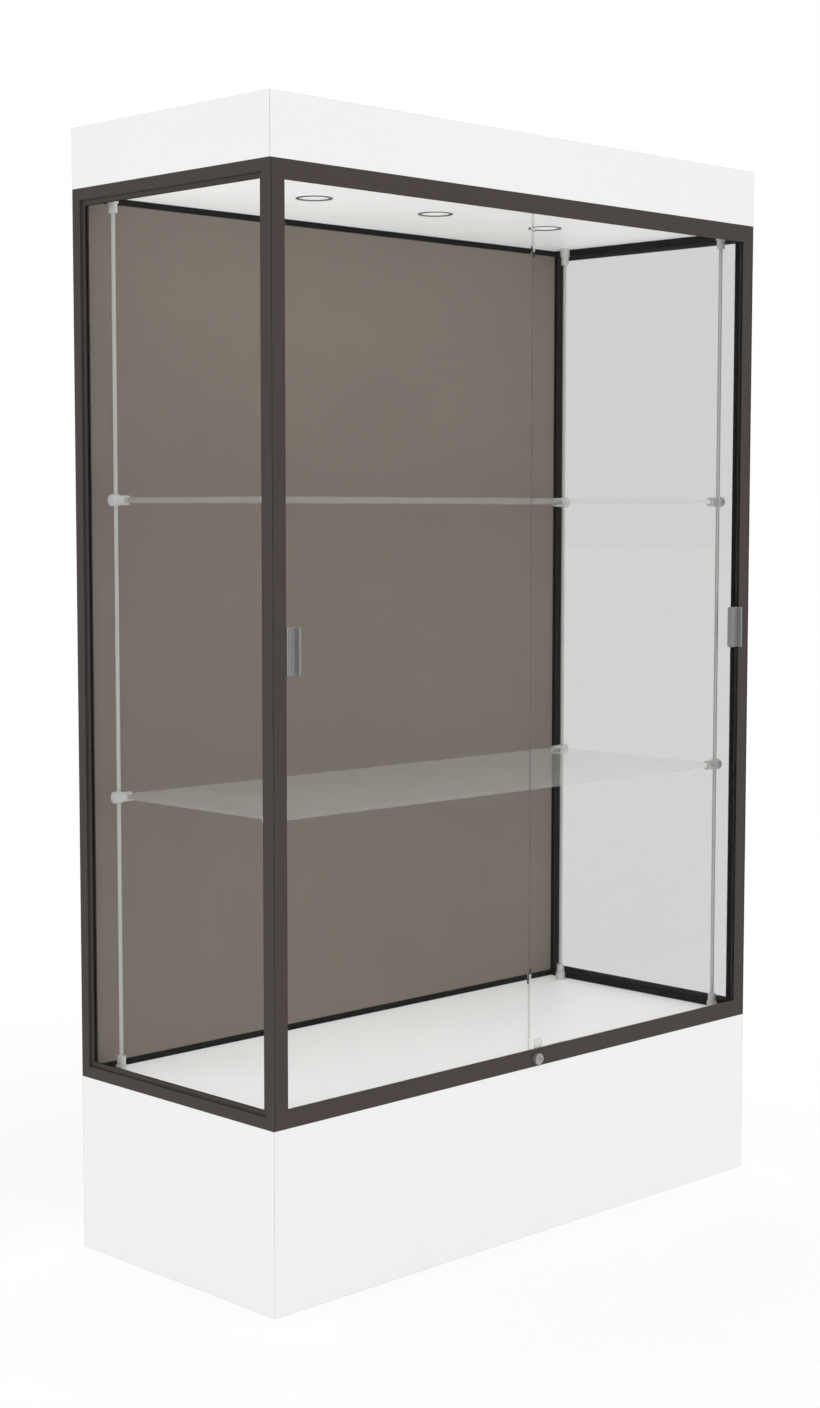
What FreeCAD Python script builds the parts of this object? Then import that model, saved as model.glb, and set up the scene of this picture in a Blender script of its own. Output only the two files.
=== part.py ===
import FreeCAD, Part
import os
import re

import Sketcher

# A lighted floor display case: a white base, an aluminium frame glazed on both sides with a closed
# back and two bypass sliding glass doors, two glass shelves clamped to four rods, and a white header
# with three downlights. +X is to the right of someone facing the doors, +Y runs to the back and +Z up.
# The origin is on the floor, at the centre of the footprint. Millimetres throughout.

SIZES = {
    # The whole case
    "case_width": 1219.2,
    "case_depth": 508.0,
    "base_height": 304.8,
    "frame_height": 1524.0,
    "header_height": 101.6,
    # Boards and panels
    "base_board": 19.0,
    "header_board": 16.0,
    "header_floor": 12.0,
    "deck_thickness": 7.6,
    "ceiling_thickness": 8.8,
    "panel_gap": 0.5,
    "fit_gap": 0.2,
    "block_side": 60.0,
    "block_height": 40.0,
    "block_lift": 22.0,
    # The frame's section, counted inwards from its outer face and from its outer edge
    "face_width": 20.0,
    "lip_setback": 4.3,
    "lip_wall": 1.8,
    "lip_reach": 8.6,
    "slot_gap": 0.5,
    "slot_start": 16.0,
    "inner_wall": 2.4,
    "inner_reach": 3.5,
    "post_face": 30.0,
    "post_depth": 20.0,
    "wall": 2.0,
    # Glass and back
    "pane": 6.0,
    "back_sheet": 6.0,
    "back_field": 6.0,
    "edge_gap": 1.5,
    # Doors and their two tracks
    "rail_face": 31.75,
    "track_depth": 25.0,
    "door_setback": 2.5,
    "door_pitch": 11.5,
    "door_overlap": 10.0,
    "door_head_gap": 10.0,
    "closing_gap": 0.5,
    "rib_width": 1.6,
    "rib_height": 2.5,
    "runner_clearance": 0.15,
    "runner_half": 2.5,
    "fin_gap": 0.5,
    "fin_drop": 28.0,
    "glide_length": 40.0,
    "glide_inset": 60.0,
    "glide_roof": 1.0,
    "glide_side_gap": 0.2,
    "glide_gap": 0.1,
    # Door pulls
    "pull_width": 29.0,
    "pull_height": 76.2,
    "pull_depth": 12.7,
    "pull_web": 3.0,
    "pull_flange": 2.5,
    "pull_ridge": 1.2,
    "pull_inset": 2.0,
    # Plunger lock and the strike that it holds
    "lock_offset": 9.0,
    "lock_lift": 0.85,
    "plunger_radius": 10.0,
    "plunger_proud": 8.5,
    "plunger_inside": 1.0,
    "plunger_chamfer": 1.5,
    "pin_radius": 2.5,
    "pin_end": 10.0,
    "running_gap": 0.05,
    "sleeve_wall": 0.8,
    "sleeve_end": 10.0,
    "plug_radius": 6.0,
    "plug_depth": 7.0,
    "keyway_width": 1.6,
    "keyway_height": 7.5,
    "keyway_depth": 4.5,
    "strike_gap": 1.0,
    "strike_width": 20.0,
    "strike_wall": 1.5,
    "strike_spacer": 2.0,
    "strike_pad": 14.0,
    # Rods and their two-step end fittings
    "rod_radius": 3.5,
    "rod_inset": 38.1,
    "rod_front": 48.0,
    "rod_back": 62.5,
    "fitting_radius": 9.7,
    "fitting_height": 16.5,
    "collar_radius": 7.6,
    "collar_height": 16.3,
    "fitting_floor": 1.0,
    # Shelves and their clamps
    "shelf_thickness": 9.5,
    "shelf_upper_height": 1306.0,
    "shelf_lower_height": 797.0,
    "shelf_inset": 14.0,
    "shelf_overhang": 2.0,
    "clamp_radius": 10.4,
    "clamp_tail": 11.0,
    "clamp_front": 5.5,
    "clamp_chamfer": 1.8,
    "nose_radius": 8.7,
    "nose_end": 26.5,
    "nose_chamfer": 1.0,
    "jaw_start": 12.0,
    "jaw_gap": 0.1,
    "slide_gap": 0.08,
    # Downlights
    "light_spacing": 293.0,
    "light_setback": 249.0,
    "trim_lip": 2.0,
    "trim_proud": 1.4,
    "trim_ring": 5.0,
    "trim_sleeve": 2.0,
    "can_radius": 28.0,
    "can_height": 46.0,
    "can_wall": 1.5,
    "lens_thickness": 2.5,
    "lens_recess": 0.4,
    # Power supply in the header
    "driver_length": 180.0,
    "driver_width": 52.0,
    "driver_height": 30.0,
    "driver_offset": 300.0,
    "service_start": 200.0,
    "inlet_offset": 450.0,
    "inlet_width": 48.0,
    "inlet_height": 28.0,
    "inlet_flange": 1.6,
    "inlet_body_width": 30.0,
    "inlet_body_height": 22.0,
    "inlet_body_depth": 24.0,
    "inlet_wall": 2.0,
    "socket_depth": 17.0,
    # Levellers
    "foot_radius": 19.0,
    "foot_height": 6.0,
    "foot_lift": 1.0,
    "stem_radius": 4.0,
    "stem_height": 70.0,
}

doc = FreeCAD.newDocument("DisplayCase")
sheet = doc.addObject("Spreadsheet::Sheet", "Sizes")
for row, (alias, number) in enumerate(SIZES.items(), start=1):
    sheet.set(f"A{row}", alias)
    sheet.set(f"B{row}", str(number))
    sheet.setAlias(f"B{row}", alias)
doc.recompute()

# Places that many pieces share, as expressions of the sheet's values
LEFT = "(-case_width / 2)"
RIGHT = "(case_width / 2)"
FRONT = "(-case_depth / 2)"
BACK = "(case_depth / 2)"
FRAME_BASE = "(base_height)"
FRAME_TOP = "(base_height + frame_height)"
CASE_TOP = "(base_height + frame_height + header_height)"
DECK_TOP = "(base_height + deck_thickness)"
CEILING = "(base_height + frame_height - ceiling_thickness)"
SLOT_NEAR = "(lip_setback + lip_wall)"
SLOT_WIDTH = "(max(pane; back_sheet) + 2 * slot_gap)"
SLOT_FAR = f"(lip_setback + lip_wall + {SLOT_WIDTH})"
SECTION = f"(lip_setback + lip_wall + {SLOT_WIDTH} + inner_wall)"
PANE_NEAR = "(lip_setback + lip_wall + slot_gap)"
BACK_FACE = f"({PANE_NEAR} + back_sheet)"
POST_INSIDE = "(case_width / 2 - post_face)"
OUTER_DOOR = f"({FRONT} + door_setback)"
INNER_DOOR = f"({FRONT} + door_setback + door_pitch)"
SLEEVE_RADIUS = "(plunger_radius + running_gap + sleeve_wall)"
LOCK_DROP = f"(wall + lock_lift + {SLEEVE_RADIUS})"
OUTER_RUNNER = f"({LOCK_DROP} + {SLEEVE_RADIUS} + runner_clearance)"
DOOR_TOP = f"({FRAME_TOP} - door_head_gap)"
OUTER_RIB_TOP = f"({FRAME_BASE} + {OUTER_RUNNER} + wall + rib_height)"
INNER_RIB_TOP = f"({FRAME_BASE} + wall + rib_height)"
LOCK_HEIGHT = f"({FRAME_BASE} + {LOCK_DROP})"
ROD_SIDE = "(case_width / 2 - rod_inset)"
ROD_FRONT = f"({FRONT} + rod_front)"
ROD_BACK = f"({BACK} - rod_back)"
PULL_HEIGHT = f"({FRAME_BASE} + frame_height / 2)"
TRIM_RADIUS = "(can_radius + trim_sleeve + trim_lip)"
X_AXIS = FreeCAD.Vector(1, 0, 0)
Y_AXIS = FreeCAD.Vector(0, 1, 0)
Z_AXIS = FreeCAD.Vector(0, 0, 1)

subparts = []


def sized(text):
    """The expression with each of the sheet's values written out in full."""
    return re.sub(r"[a-z_]+", lambda word: "Sizes." + word.group() if word.group() in SIZES else word.group(), text)


def place(item, position, axis=Z_AXIS, angle=0):
    """Turns an object by an angle about an axis and puts it at a position given as expressions."""
    item.Placement = FreeCAD.Placement(FreeCAD.Vector(), FreeCAD.Rotation(axis, angle))
    for letter, text in zip("xyz", position):
        item.setExpression(f"Placement.Base.{letter}", sized(text))
    return item


def piece(item, name):
    """Marks an object as a sub-part, under the name that its file gets."""
    item.Label = name
    subparts.append(item)
    return item


def box(name, low, high):
    """A block from its lowest corner to its highest."""
    block = place(doc.addObject("Part::Box", name), low)
    for side, near, far in zip(("Length", "Width", "Height"), low, high):
        block.setExpression(side, sized(f"({far}) - ({near})"))
    return block


def cylinder(name, position, radius, height, axis=Z_AXIS, angle=0):
    """A round bar that rises from a position."""
    bar = place(doc.addObject("Part::Cylinder", name), position, axis, angle)
    bar.setExpression("Radius", sized(radius))
    bar.setExpression("Height", sized(height))
    return bar


def fuse(name, *parts):
    joined = doc.addObject("Part::MultiFuse", name)
    joined.Shapes = list(parts)
    joined.Refine = True
    return joined


def cut(name, base, *tools):
    trimmed = doc.addObject("Part::Cut", name)
    trimmed.Base = base
    trimmed.Tool = tools[0] if len(tools) == 1 else fuse(f"{name}_tools", *tools)
    return trimmed


def together(name, parts):
    """Identical pieces that share one sub-part and stay separate solids."""
    group = doc.addObject("Part::Compound", name)
    group.Links = list(parts)
    return group


def mirrored(name, source, normal=X_AXIS):
    """The same piece on the other side of the case's middle plane."""
    twin = doc.addObject("Part::Mirroring", name)
    twin.Source = source
    twin.Normal = normal
    return twin


def outline(body, role, points):
    """A closed sketch on one of a body's own planes, with every corner bound to the sheet."""
    plane = next(item for item in body.Origin.OriginFeatures if item.Role == role)
    sketch = body.newObject("Sketcher::SketchObject", f"{body.Name}_outline")
    sketch.AttachmentSupport = [(plane, "")]
    sketch.MapMode = "FlatFace"
    count = len(points)
    rough = [FreeCAD.Vector(1 + index, 3 * (index % 3), 0) for index in range(count)]
    for index in range(count):
        sketch.addGeometry(Part.LineSegment(rough[index], rough[(index + 1) % count]), False)
    for index in range(count):
        sketch.addConstraint(Sketcher.Constraint("Coincident", index, 2, (index + 1) % count, 1))
    for index, point in enumerate(points):
        for kind, text in zip(("DistanceX", "DistanceY"), point):
            number = sketch.addConstraint(Sketcher.Constraint(kind, -1, 1, index, 1, 1.0))
            sketch.setExpression(f"Constraints[{number}]", sized(text))
    return sketch


def turned(name, points, position, axis=Z_AXIS, angle=0):
    """A body of revolution about its own Z axis, from (radius, height) corners."""
    body = place(doc.addObject("PartDesign::Body", name), position, axis, angle)
    sketch = outline(body, "XZ_Plane", points)
    turn = body.newObject("PartDesign::Revolution", f"{name}_turn")
    turn.Profile = sketch
    turn.ReferenceAxis = (sketch, ["V_Axis"])
    turn.Angle = 360
    body.Tip = turn
    return body


def extruded(name, points, length, position):
    """A bar along X, centred on its position, from (depth, height) corners of its section."""
    body = place(doc.addObject("PartDesign::Body", name), position)
    sketch = outline(body, "YZ_Plane", points)
    pad = body.newObject("PartDesign::Pad", f"{name}_pad")
    pad.Profile = sketch
    pad.Midplane = True
    pad.setExpression("Length", sized(length))
    body.Tip = pad
    return body


def mitred_board(name, length, thickness, height, position, angle):
    """An upright board with both ends mitred inwards; its outer face is the long one."""
    board = place(doc.addObject("Part::Wedge", name), position, Z_AXIS, angle)
    bounds = {
        "Xmin": "0", "Xmax": length, "Ymin": "0", "Ymax": thickness, "Zmin": "0", "Zmax": height,
        "X2min": thickness, "X2max": f"({length}) - {thickness}", "Z2min": "0", "Z2max": height,
    }
    for side, text in bounds.items():
        board.setExpression(side, sized(text))
    return board


def span(edge, inwards, near, far):
    """The low and high ends of a stretch counted inwards from an edge."""
    if inwards > 0:
        return f"{edge} + {near}", f"{edge} + {far}"
    return f"{edge} - ({far})", f"{edge} - ({near})"


def corners(*spans):
    """The lowest and highest corners of a block, from its stretch along each axis."""
    return [low for low, high in spans], [high for low, high in spans]


def board_ring(prefix, thickness, bottom, height):
    """Four mitred boards round the case's footprint."""
    sides = {
        "front": ("case_width", LEFT, FRONT, 0),
        "right": ("case_depth", RIGHT, FRONT, 90),
        "back": ("case_width", RIGHT, BACK, 180),
        "left": ("case_depth", LEFT, BACK, 270),
    }
    return {
        side: mitred_board(f"{prefix}_board_{side}", length, thickness, height, (x, y, bottom), angle)
        for side, (length, x, y, angle) in sides.items()
    }


# Base: four mitred boards, a top, a middle rib, and corner blocks that the levellers screw into
for side, board in board_ring("base", "base_board", "0", "base_height").items():
    piece(board, f"base_{side}")
inside_base = [
    (f"{LEFT} + base_board", f"{RIGHT} - base_board"),
    (f"{FRONT} + base_board", f"{BACK} - base_board"),
]
piece(box("base_top", *corners(*inside_base, (f"{FRAME_BASE} - base_board", FRAME_BASE))), "base_top")
rib_x = ("-base_board / 2", "base_board / 2")
rib_z = ("0", f"{FRAME_BASE} - base_board")
piece(box("base_rib", *corners(rib_x, inside_base[1], rib_z)), "base_rib")

leveller_spots = {
    "front_left": (LEFT, 1, FRONT, 1),
    "front_right": (RIGHT, -1, FRONT, 1),
    "back_left": (LEFT, 1, BACK, -1),
    "back_right": (RIGHT, -1, BACK, -1),
}
blocks = []
for corner, (x_edge, x_in, y_edge, y_in) in leveller_spots.items():
    x_stretch = span(x_edge, x_in, "base_board", "base_board + block_side")
    y_stretch = span(y_edge, y_in, "base_board", "base_board + block_side")
    x_middle = f"{x_edge} + {x_in} * (base_board + block_side / 2)"
    y_middle = f"{y_edge} + {y_in} * (base_board + block_side / 2)"
    solid = box(f"block_{corner}", *corners(x_stretch, y_stretch, ("block_lift", "block_lift + block_height")))
    thread = cylinder(
        f"thread_{corner}", (x_middle, y_middle, "block_lift"), "stem_radius + running_gap", "block_height"
    )
    blocks.append(cut(f"tapped_{corner}", solid, thread))
    leveller = turned(
        f"leveller_{corner}",
        [
            ("0", "0"),
            ("foot_radius", "0"),
            ("foot_radius", "foot_height / 2"),
            ("foot_radius / 2", "foot_height"),
            ("stem_radius", "foot_height"),
            ("stem_radius", "stem_height"),
            ("0", "stem_height"),
        ],
        (x_middle, y_middle, "foot_lift"),
    )
    piece(leveller, f"leveller_{corner}")
piece(together("base_corner_blocks", blocks), "base_corner_blocks")


def front_post():
    """The left front post: a hollow tube with a glazing slot and two lips towards the back."""
    height = (FRAME_BASE, FRAME_TOP)
    tube = box("post_tube", *corners(span(LEFT, 1, "0", "post_face"), span(FRONT, 1, "0", "post_depth"), height))
    core = box(
        "post_core",
        *corners(span(LEFT, 1, "wall", "post_face - wall"), span(FRONT, 1, "wall", "slot_start - wall"), height),
    )
    slot = box(
        "post_slot",
        *corners(span(LEFT, 1, SLOT_NEAR, SLOT_FAR), span(FRONT, 1, "slot_start", "post_depth"), height),
    )
    between = (f"{FRAME_BASE} + face_width", f"{FRAME_TOP} - face_width")
    outer = box(
        "post_outer_lip",
        *corners(
            span(LEFT, 1, "lip_setback", SLOT_NEAR), span(FRONT, 1, "post_depth", "post_depth + lip_reach"), between
        ),
    )
    inner = box(
        "post_inner_lip",
        *corners(span(LEFT, 1, SLOT_FAR, SECTION), span(FRONT, 1, "post_depth", "post_depth + inner_reach"), between),
    )
    return fuse("post_front_left", cut("post_hollow", tube, core, slot), outer, inner)


def back_post():
    """The left back post: a square tube with a slot both ways. The back needs no inner lip."""
    height = (FRAME_BASE, FRAME_TOP)
    between = (f"{FRAME_BASE} + face_width", f"{FRAME_TOP} - face_width")
    tube = box("back_tube", *corners(span(LEFT, 1, "0", "face_width"), span(BACK, -1, "0", "face_width"), height))
    core = box(
        "back_core",
        *corners(span(LEFT, 1, "wall", "slot_start - wall"), span(BACK, -1, "wall", "slot_start - wall"), height),
    )
    notch = box(
        "back_notch", *corners(span(LEFT, 1, SECTION, "face_width"), span(BACK, -1, SECTION, "face_width"), height)
    )
    side_slot = box(
        "back_side_slot",
        *corners(span(LEFT, 1, SLOT_NEAR, SLOT_FAR), span(BACK, -1, "slot_start", "face_width"), height),
    )
    rear_slot = box(
        "back_rear_slot",
        *corners(span(LEFT, 1, "slot_start", "face_width"), span(BACK, -1, SLOT_NEAR, SLOT_FAR), height),
    )
    lips = []
    for label, near, far, reach in (
        ("outer", "lip_setback", SLOT_NEAR, "lip_reach"),
        ("inner", SLOT_FAR, SECTION, "inner_reach"),
    ):
        along = span(BACK, -1, "face_width", f"face_width + {reach}")
        lips.append(box(f"back_side_{label}", *corners(span(LEFT, 1, near, far), along, between)))
    rear_x = span(LEFT, 1, "face_width", "face_width + lip_reach")
    lips.append(box("back_rear_outer", *corners(rear_x, span(BACK, -1, "lip_setback", SLOT_NEAR), between)))
    return fuse("post_back_left", cut("back_hollow", tube, core, notch, side_slot, rear_slot), *lips)


def glazed_rail(name, z_edge, up, across, along_of, inner_lip):
    """A rail with a glazing slot. across places its depth, and along_of gives its run past the posts' lips."""
    tube = box(f"{name}_tube", *corners(*across("0", SECTION, along_of("0")), span(z_edge, up, "0", "face_width")))
    core = box(
        f"{name}_core",
        *corners(*across("wall", f"{SECTION} - wall", along_of("0")), span(z_edge, up, "wall", "slot_start - wall")),
    )
    slot = box(
        f"{name}_slot",
        *corners(*across(SLOT_NEAR, SLOT_FAR, along_of("0")), span(z_edge, up, "slot_start", "face_width")),
    )
    lips = [
        box(
            f"{name}_outer_lip",
            *corners(
                *across("lip_setback", SLOT_NEAR, along_of("lip_reach")),
                span(z_edge, up, "face_width", "face_width + lip_reach"),
            ),
        )
    ]
    if inner_lip:
        inner_z = span(z_edge, up, "face_width", "face_width + inner_reach")
        lips.append(box(f"{name}_inner_lip", *corners(*across(SLOT_FAR, SECTION, along_of("inner_reach")), inner_z)))
    return fuse(name, cut(f"{name}_hollow", tube, core, slot), *lips)


def side_across(near, far, run):
    return span(LEFT, 1, near, far), run


def side_run(reach):
    return f"{FRONT} + post_depth + {reach}", f"{BACK} - face_width - {reach}"


def rear_across(near, far, run):
    return run, span(BACK, -1, near, far)


def rear_run(reach):
    return f"{LEFT} + face_width + {reach}", f"{RIGHT} - face_width - {reach}"


# Frame: four posts, and rails between them
left_front_post = front_post()
piece(left_front_post, "post_front_left")
piece(mirrored("post_front_right", left_front_post), "post_front_right")
left_back_post = back_post()
piece(left_back_post, "post_back_left")
piece(mirrored("post_back_right", left_back_post), "post_back_right")

for level, edge, up in (("bottom", FRAME_BASE, 1), ("top", FRAME_TOP, -1)):
    side_rail = glazed_rail(f"left_{level}_rail", edge, up, side_across, side_run, True)
    piece(side_rail, f"left_{level}_rail")
    piece(mirrored(f"right_{level}_rail", side_rail), f"right_{level}_rail")
    piece(glazed_rail(f"back_{level}_rail", edge, up, rear_across, rear_run, False), f"back_{level}_rail")

# The front rails are the doors' two tracks. Sections run back from the case's front, and the doors
# ride on two ribs: the outer one high, over the lock, and the inner one on the rail's floor.
outer_middle = "(door_setback + pane / 2)"
inner_middle = "(door_setback + door_pitch + pane / 2)"
runner_top = f"({OUTER_RUNNER} + wall)"
bottom_section = [
    ("0", "0"),
    ("0", "rail_face"),
    ("wall", "rail_face"),
    ("wall", runner_top),
    (f"{outer_middle} - rib_width / 2", runner_top),
    (f"{outer_middle} - rib_width / 2", f"{runner_top} + rib_height"),
    (f"{outer_middle} + rib_width / 2", f"{runner_top} + rib_height"),
    (f"{outer_middle} + rib_width / 2", runner_top),
    (f"{outer_middle} + runner_half", runner_top),
    (f"{outer_middle} + runner_half", OUTER_RUNNER),
    ("wall", OUTER_RUNNER),
    ("wall", "wall"),
    (f"{inner_middle} - rib_width / 2", "wall"),
    (f"{inner_middle} - rib_width / 2", "wall + rib_height"),
    (f"{inner_middle} + rib_width / 2", "wall + rib_height"),
    (f"{inner_middle} + rib_width / 2", "wall"),
    ("track_depth - wall", "wall"),
    ("track_depth - wall", "face_width + inner_reach"),
    ("track_depth", "face_width + inner_reach"),
    ("track_depth", "0"),
]
fin_near = "(door_setback + pane + fin_gap)"
fin_far = "(door_setback + door_pitch - fin_gap)"
inner_back = "(door_setback + door_pitch + pane + fin_gap)"
top_section = [
    ("0", "0"),
    ("0", "-rail_face"),
    ("wall", "-rail_face"),
    ("wall", "-wall"),
    (fin_near, "-wall"),
    (fin_near, "-fin_drop"),
    (fin_far, "-fin_drop"),
    (fin_far, "-wall"),
    (inner_back, "-wall"),
    (inner_back, "-(face_width + inner_reach)"),
    ("track_depth", "-(face_width + inner_reach)"),
    ("track_depth", "0"),
]
bottom_bar = extruded("bottom_bar", bottom_section, f"2 * {POST_INSIDE}", ("0", FRONT, FRAME_BASE))
lock_hole = cylinder(
    "lock_hole", ("lock_offset", FRONT, LOCK_HEIGHT), "plunger_radius + running_gap", "wall", X_AXIS, -90
)
piece(cut("front_bottom_rail", bottom_bar, lock_hole), "front_bottom_rail")
piece(extruded("front_top_rail", top_section, f"2 * {POST_INSIDE}", ("0", FRONT, FRAME_TOP)), "front_top_rail")

# Side panes stand in the frame's slots. So does the back, by a rebated tongue, with its field forward
pane_z = (f"{FRAME_BASE} + slot_start + edge_gap", f"{FRAME_TOP} - slot_start - edge_gap")
pane_y = (f"{FRONT} + slot_start + edge_gap", f"{BACK} - slot_start - edge_gap")
left_pane = box("left_pane", *corners(span(LEFT, 1, PANE_NEAR, f"{PANE_NEAR} + pane"), pane_y, pane_z))
piece(left_pane, "left_glass")
piece(mirrored("right_pane", left_pane), "right_glass")
back_x = (f"{LEFT} + slot_start + edge_gap", f"{RIGHT} - slot_start - edge_gap")
tongue = box("back_tongue", *corners(back_x, span(BACK, -1, PANE_NEAR, BACK_FACE), pane_z))
field = box(
    "back_field_board",
    *corners(
        (f"{LEFT} + face_width + panel_gap", f"{RIGHT} - face_width - panel_gap"),
        span(BACK, -1, BACK_FACE, f"{BACK_FACE} + back_field"),
        (f"{FRAME_BASE} + face_width + panel_gap", f"{FRAME_TOP} - face_width - panel_gap"),
    ),
)
piece(fuse("rebated_back", tongue, field), "back_panel")

# Floor and ceiling lie inside the frame's inner walls
inside_x = (f"{LEFT} + {SECTION} + panel_gap", f"{RIGHT} - {SECTION} - panel_gap")
inside_y = (f"{FRONT} + track_depth + panel_gap", f"{BACK} - {SECTION} - panel_gap")
piece(box("deck", *corners(inside_x, inside_y, (FRAME_BASE, DECK_TOP))), "floor_deck")

light_places = {
    "left": ("-light_spacing", f"{FRONT} + light_setback"),
    "middle": ("0", f"{FRONT} + light_setback"),
    "right": ("light_spacing", f"{FRONT} + light_setback"),
}
ceiling_holes = [
    cylinder(f"ceiling_hole_{name}", (x, y, CEILING), "can_radius + trim_sleeve + fit_gap", "ceiling_thickness")
    for name, (x, y) in light_places.items()
]
ceiling_board = box("ceiling_board", *corners(inside_x, inside_y, (CEILING, FRAME_TOP)))
piece(cut("ceiling_panel", ceiling_board, *ceiling_holes), "ceiling_panel")

# Header: four mitred boards with a floor and a top between them
header_boards = board_ring("header", "header_board", FRAME_TOP, "header_height")
for side in ("front", "left", "right"):
    piece(header_boards[side], f"header_{side}")
header_x = (f"{LEFT} + header_board", f"{RIGHT} - header_board")
header_y = (f"{FRONT} + header_board", f"{BACK} - header_board")
floor_holes = [
    cylinder(f"floor_hole_{name}", (x, y, FRAME_TOP), "can_radius + trim_sleeve + fit_gap", "header_floor")
    for name, (x, y) in light_places.items()
]
header_floor_board = box("header_floor_board", *corners(header_x, header_y, (FRAME_TOP, f"{FRAME_TOP} + header_floor")))
piece(cut("header_floor_panel", header_floor_board, *floor_holes), "header_floor")
piece(box("header_lid", *corners(header_x, header_y, (f"{CASE_TOP} - header_board", CASE_TOP))), "header_top")

# The right end of the header's back is a service panel. It carries the power inlet, flush in its face,
# and opens the way to the lights' driver on the header's floor.
inlet_middle = f"({FRAME_TOP} + header_height / 2)"


def inlet_block(name, half_width, half_height, near, far):
    x_stretch = (f"inlet_offset - {half_width}", f"inlet_offset + {half_width}")
    z_stretch = (f"{inlet_middle} - {half_height}", f"{inlet_middle} + {half_height}")
    return box(name, *corners(x_stretch, span(BACK, -1, near, far), z_stretch))


flange_room = inlet_block(
    "flange_room", "(inlet_width / 2 + fit_gap)", "(inlet_height / 2 + fit_gap)", "0", "inlet_flange"
)
body_room = inlet_block(
    "body_room", "(inlet_body_width / 2 + fit_gap)", "(inlet_body_height / 2 + fit_gap)", "0", "header_board"
)
beyond_seam = box("beyond_seam", ("service_start", f"{BACK} - header_board", FRAME_TOP), (RIGHT, BACK, CASE_TOP))
before_seam = box("before_seam", (LEFT, f"{BACK} - header_board", FRAME_TOP), ("service_start + fit_gap", BACK, CASE_TOP))
piece(cut("header_back_cut", header_boards["back"], beyond_seam), "header_back")
service_panel = cut("service_panel", header_boards["back"], before_seam, flange_room, body_room)
piece(service_panel, "header_service_panel")
inlet_flange = inlet_block("inlet_flange_plate", "inlet_width / 2", "inlet_height / 2", "0", "inlet_flange")
inlet_body = inlet_block("inlet_body_block", "inlet_body_width / 2", "inlet_body_height / 2", "0", "inlet_body_depth")
inlet_socket = inlet_block(
    "inlet_socket", "(inlet_body_width / 2 - inlet_wall)", "(inlet_body_height / 2 - inlet_wall)", "0", "socket_depth"
)
piece(cut("inlet", fuse("inlet_solid", inlet_flange, inlet_body), inlet_socket), "power_inlet")
driver_x = ("driver_offset - driver_length / 2", "driver_offset + driver_length / 2")
driver_y = (f"{BACK} - header_board - 2 * driver_width", f"{BACK} - header_board - driver_width")
driver_z = (f"{FRAME_TOP} + header_floor", f"{FRAME_TOP} + header_floor + driver_height")
piece(box("driver", *corners(driver_x, driver_y, driver_z)), "led_driver")

# Downlights: a trim ring under the ceiling, a can in the header and a white lens across its mouth
trims = []
cans = []
lenses = []
for name, (x, y) in light_places.items():
    trims.append(
        turned(
            f"trim_{name}",
            [
                (f"{TRIM_RADIUS} - trim_ring", "-trim_proud"),
                (f"{TRIM_RADIUS} - trim_proud / 2", "-trim_proud"),
                (TRIM_RADIUS, "-trim_proud / 2"),
                (TRIM_RADIUS, "0"),
                ("can_radius + trim_sleeve", "0"),
                ("can_radius + trim_sleeve", "ceiling_thickness"),
                ("can_radius + fit_gap", "ceiling_thickness"),
                ("can_radius + fit_gap", "0"),
                (f"{TRIM_RADIUS} - trim_ring", "0"),
            ],
            (x, y, CEILING),
        )
    )
    cans.append(
        turned(
            f"can_{name}",
            [
                ("can_radius - can_wall", "lens_recess"),
                ("can_radius", "lens_recess"),
                ("can_radius", "can_height"),
                ("0", "can_height"),
                ("0", "can_height - can_wall"),
                ("can_radius - can_wall", "can_height - can_wall"),
            ],
            (x, y, CEILING),
        )
    )
    lenses.append(
        turned(
            f"lens_{name}",
            [
                ("0", "lens_recess"),
                ("can_radius - can_wall - fit_gap", "lens_recess"),
                ("can_radius - can_wall - fit_gap", "lens_recess + lens_thickness"),
                ("0", "lens_recess + lens_thickness"),
            ],
            (x, y, CEILING),
        )
    )
piece(together("downlight_trims", trims), "downlight_trims")
piece(together("downlight_cans", cans), "downlight_cans")
piece(together("downlight_lenses", lenses), "downlight_lenses")

# Rods, held at the floor and the ceiling by two-step fittings
rod_places = {
    "front_left": (f"-{ROD_SIDE}", ROD_FRONT, 1),
    "front_right": (ROD_SIDE, ROD_FRONT, -1),
    "back_left": (f"-{ROD_SIDE}", ROD_BACK, 1),
    "back_right": (ROD_SIDE, ROD_BACK, -1),
}
fitting_section = [
    ("0", "0"),
    ("fitting_radius", "0"),
    ("fitting_radius", "fitting_height"),
    ("collar_radius", "fitting_height"),
    ("collar_radius", "fitting_height + collar_height"),
    ("rod_radius + running_gap", "fitting_height + collar_height"),
    ("rod_radius + running_gap", "fitting_floor"),
    ("0", "fitting_floor"),
]
floor_fittings = []
ceiling_fittings = []
for corner, (x, y, _) in rod_places.items():
    rod = cylinder(
        f"rod_{corner}",
        (x, y, f"{DECK_TOP} + fitting_floor"),
        "rod_radius",
        f"{CEILING} - {DECK_TOP} - 2 * fitting_floor",
    )
    piece(rod, f"rod_{corner}")
    floor_fittings.append(turned(f"floor_fitting_{corner}", fitting_section, (x, y, DECK_TOP)))
    ceiling_fittings.append(turned(f"ceiling_fitting_{corner}", fitting_section, (x, y, CEILING), X_AXIS, 180))
piece(together("rod_floor_fittings", floor_fittings), "rod_floor_fittings")
piece(together("rod_ceiling_fittings", ceiling_fittings), "rod_ceiling_fittings")

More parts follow.
